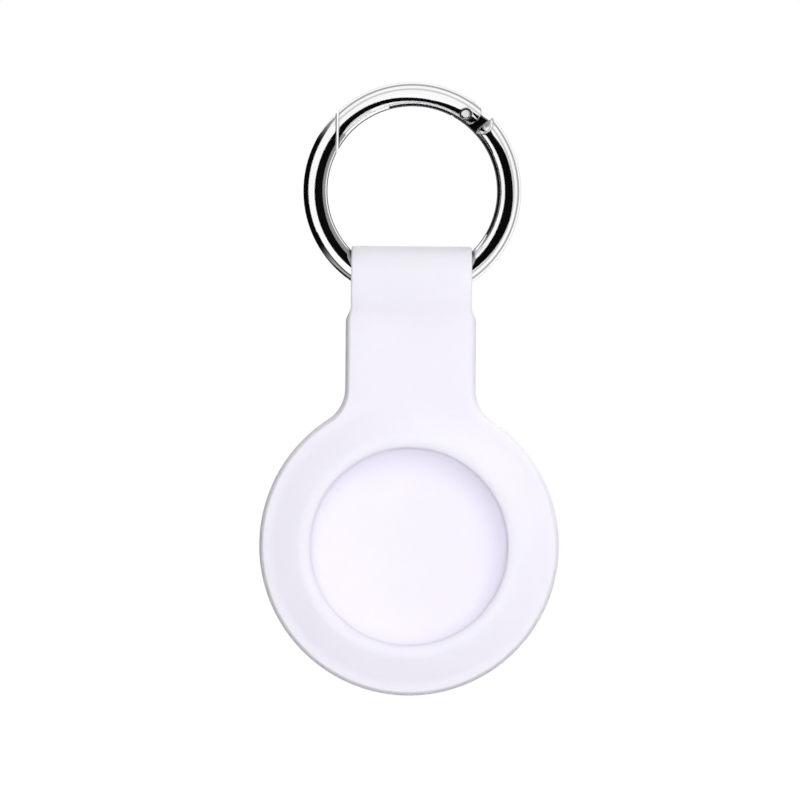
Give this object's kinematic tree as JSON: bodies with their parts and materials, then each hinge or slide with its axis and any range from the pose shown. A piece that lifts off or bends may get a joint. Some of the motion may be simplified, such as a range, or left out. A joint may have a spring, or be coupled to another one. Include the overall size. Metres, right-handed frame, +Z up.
{
  "type": "tracker tag holder",
  "caption": "Moulded silicone pouch for a coin-shaped tracker tag, hung by its strap loop on a sprung-gate ring.",
  "frame": {"origin": "centre of the ring's eye, on the middle plane of the ring and the strap", "axes": "+Z up from the pouch to the ring as it hangs, -Y out of the pouch's window, +X to the right seen from the front"},
  "size_m": [0.0404, 0.0108, 0.0827],
  "materials": {
    "silicone": "fine matt moulded silicone, pale lavender white",
    "plated_zinc": "polished bright plate on die-cast zinc",
    "steel": "plain bright steel"
  },
  "bodies": {
    "ring": {"ring_body": "plated_zinc", "pivot_rivet": "steel"},
    "gate": {"ring_gate": "plated_zinc", "gate_spring": "steel"},
    "plunger": {"spring_plunger": "steel"},
    "holder": {"holder_body": "silicone"}
  },
  "joints": [
    {"name": "holder_swing", "type": "hinge", "parent": "ring", "child": "holder", "pos_m": [0, 0, -0.01174], "axis": [1, 0, 0], "range_deg": [-150, 150]},
    {"name": "gate_open", "type": "hinge", "parent": "ring", "child": "gate", "pos_m": [0.00711, 0, 0.01031], "axis": [0, -1, 0], "range_deg": [0, 32], "stiffness_Nm_per_rad": 0.03, "springref_deg": -20.05},
    {"name": "plunger_slide", "type": "slide", "parent": "gate", "child": "plunger", "axis": [-0.878, 0, 0.4787], "range_m": [0, 0.00036], "deforming": ["gate_spring"]}
  ],
  "couplings": [
    {"joint": "plunger_slide", "follows": "gate_open", "m_per_rad": 0.00064069}
  ]
}
